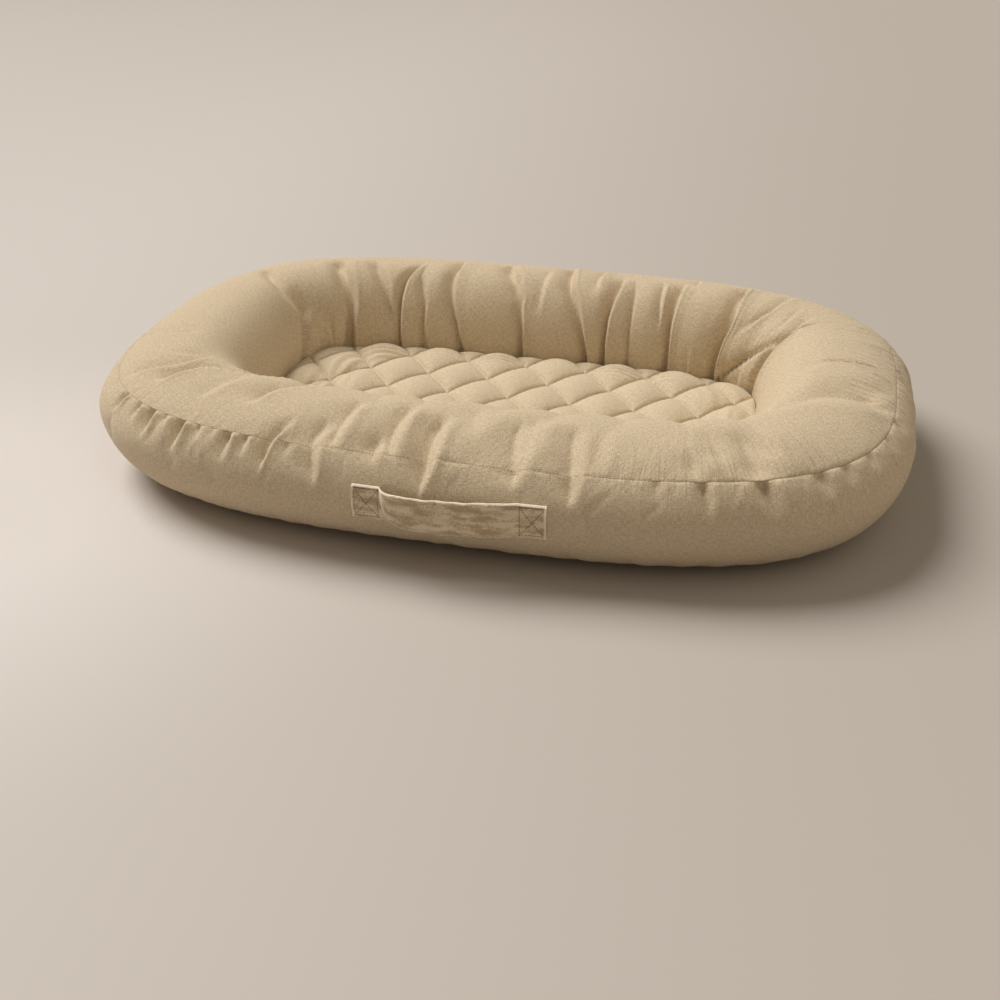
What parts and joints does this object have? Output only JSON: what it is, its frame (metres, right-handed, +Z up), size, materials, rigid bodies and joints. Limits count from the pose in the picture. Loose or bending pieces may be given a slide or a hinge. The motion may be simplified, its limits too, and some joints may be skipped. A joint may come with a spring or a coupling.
{
  "type": "infant lounger",
  "caption": "Oval infant lounger: soft ring bolster in a sewn linen cover round a diamond-quilted floor, with a side carry handle and a zip underneath.",
  "frame": {"origin": "middle of the footprint, on the ground", "axes": "+X along the length, -Y towards the carry handle, +Z up"},
  "size_m": [0.74, 0.5057, 0.109],
  "materials": {
    "cover_linen": "plain-weave washed linen and cotton, matt, warm sand",
    "quilt_linen": "the same linen, diamond quilted over batting",
    "handle_linen": "folded linen strap with pressed edges",
    "lining_cotton": "plain cotton lining, natural",
    "fibre_fill": "polyester fibre, white",
    "zip_nylon": "dyed nylon coil and woven tape",
    "zip_metal": "satin nickel plate"
  },
  "bodies": {
    "lounger": {"top_panel": "cover_linen", "side_panel_rear": "cover_linen", "side_panel_front": "cover_linen", "bottom_panel_rear": "cover_linen", "bottom_panel_front": "cover_linen", "liner_top": "lining_cotton", "liner_base": "lining_cotton", "bolster_fill": "fibre_fill", "quilt_top": "quilt_linen", "quilt_batting": "fibre_fill", "quilt_backing": "lining_cotton", "base_pad": "fibre_fill", "handle_end_left": "handle_linen", "handle_end_right": "handle_linen", "zip_tape_rear": "zip_nylon", "zip_tape_front": "zip_nylon", "zip_coil_rear": "zip_nylon", "zip_coil_front": "zip_nylon", "zip_top_stop_rear": "zip_metal", "zip_top_stop_front": "zip_metal", "zip_bottom_stop": "zip_metal"},
    "handle": {"handle_grip": "handle_linen"},
    "slider": {"zip_slider": "zip_metal"},
    "pull": {"zip_pull": "zip_metal"}
  },
  "joints": [
    {"name": "handle_pull_out", "type": "slide", "parent": "lounger", "child": "handle", "axis": [0, -1, 0], "range_m": [0, 0.012]},
    {"name": "zip_travel", "type": "slide", "parent": "lounger", "child": "slider", "axis": [-1, 0, 0], "range_m": [0, 0.328]},
    {"name": "pull_swing", "type": "hinge", "parent": "slider", "child": "pull", "pos_m": [0.1642, 0, 0.0061], "axis": [0, -1, 0], "range_deg": [0, 175]}
  ]
}
